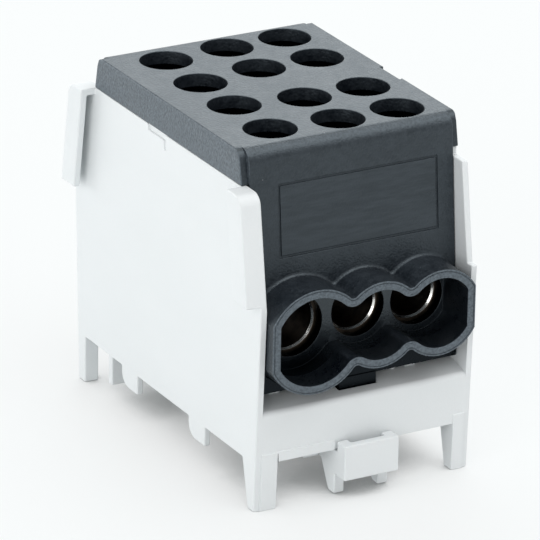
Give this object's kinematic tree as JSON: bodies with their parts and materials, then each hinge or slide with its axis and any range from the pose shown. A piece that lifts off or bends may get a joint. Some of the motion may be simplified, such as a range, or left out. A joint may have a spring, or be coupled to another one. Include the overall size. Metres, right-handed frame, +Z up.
{
  "type": "terminal block",
  "caption": "Rail-mounted distribution terminal block: pale side walls, black insert with screw wells, lobed conductor collars, metal clamp body and a spring rail clip.",
  "frame": {"origin": "under the middle of the overall box, on the plane the feet stand on", "axes": "+Z up, +Y along the conductors from front to rear, +X to the right seen from the front"},
  "size_m": [0.0446, 0.0716, 0.063],
  "materials": {
    "pale_plastic": "fine spark-eroded moulded surface",
    "black_plastic": "fine spark-eroded moulded surface, softly shining at a low angle",
    "terminal_metal": "bright plated, bored",
    "screw_steel": "dull zinc plated"
  },
  "bodies": {
    "block": {"base_housing": "pale_plastic", "insulating_insert": "black_plastic", "terminal_body": "terminal_metal"},
    "rail_clip": {"rail_clip": "pale_plastic"},
    "clamp_screw_1": {"clamp_screw_1": "screw_steel"},
    "clamp_screw_2": {"clamp_screw_2": "screw_steel"},
    "clamp_screw_3": {"clamp_screw_3": "screw_steel"},
    "clamp_screw_4": {"clamp_screw_4": "screw_steel"},
    "clamp_screw_5": {"clamp_screw_5": "screw_steel"},
    "clamp_screw_6": {"clamp_screw_6": "screw_steel"},
    "clamp_screw_7": {"clamp_screw_7": "screw_steel"},
    "clamp_screw_8": {"clamp_screw_8": "screw_steel"},
    "clamp_screw_9": {"clamp_screw_9": "screw_steel"},
    "clamp_screw_10": {"clamp_screw_10": "screw_steel"},
    "clamp_screw_11": {"clamp_screw_11": "screw_steel"},
    "clamp_screw_12": {"clamp_screw_12": "screw_steel"}
  },
  "joints": [
    {"name": "rail_clip_slide", "type": "slide", "parent": "block", "child": "rail_clip", "axis": [0, -1, 0], "range_m": [0, 0.003], "stiffness_N_per_m": 1500},
    {"name": "clamp_screw_1_feed", "type": "slide", "parent": "block", "child": "clamp_screw_1", "axis": [0, 0, -1], "range_m": [0, 0.006]},
    {"name": "clamp_screw_2_feed", "type": "slide", "parent": "block", "child": "clamp_screw_2", "axis": [0, 0, -1], "range_m": [0, 0.006]},
    {"name": "clamp_screw_3_feed", "type": "slide", "parent": "block", "child": "clamp_screw_3", "axis": [0, 0, -1], "range_m": [0, 0.006]},
    {"name": "clamp_screw_4_feed", "type": "slide", "parent": "block", "child": "clamp_screw_4", "axis": [0, 0, -1], "range_m": [0, 0.006]},
    {"name": "clamp_screw_5_feed", "type": "slide", "parent": "block", "child": "clamp_screw_5", "axis": [0, 0, -1], "range_m": [0, 0.006]},
    {"name": "clamp_screw_6_feed", "type": "slide", "parent": "block", "child": "clamp_screw_6", "axis": [0, 0, -1], "range_m": [0, 0.006]},
    {"name": "clamp_screw_7_feed", "type": "slide", "parent": "block", "child": "clamp_screw_7", "axis": [0, 0, -1], "range_m": [0, 0.006]},
    {"name": "clamp_screw_8_feed", "type": "slide", "parent": "block", "child": "clamp_screw_8", "axis": [0, 0, -1], "range_m": [0, 0.006]},
    {"name": "clamp_screw_9_feed", "type": "slide", "parent": "block", "child": "clamp_screw_9", "axis": [0, 0, -1], "range_m": [0, 0.006]},
    {"name": "clamp_screw_10_feed", "type": "slide", "parent": "block", "child": "clamp_screw_10", "axis": [0, 0, -1], "range_m": [0, 0.006]},
    {"name": "clamp_screw_11_feed", "type": "slide", "parent": "block", "child": "clamp_screw_11", "axis": [0, 0, -1], "range_m": [0, 0.006]},
    {"name": "clamp_screw_12_feed", "type": "slide", "parent": "block", "child": "clamp_screw_12", "axis": [0, 0, -1], "range_m": [0, 0.006]}
  ]
}
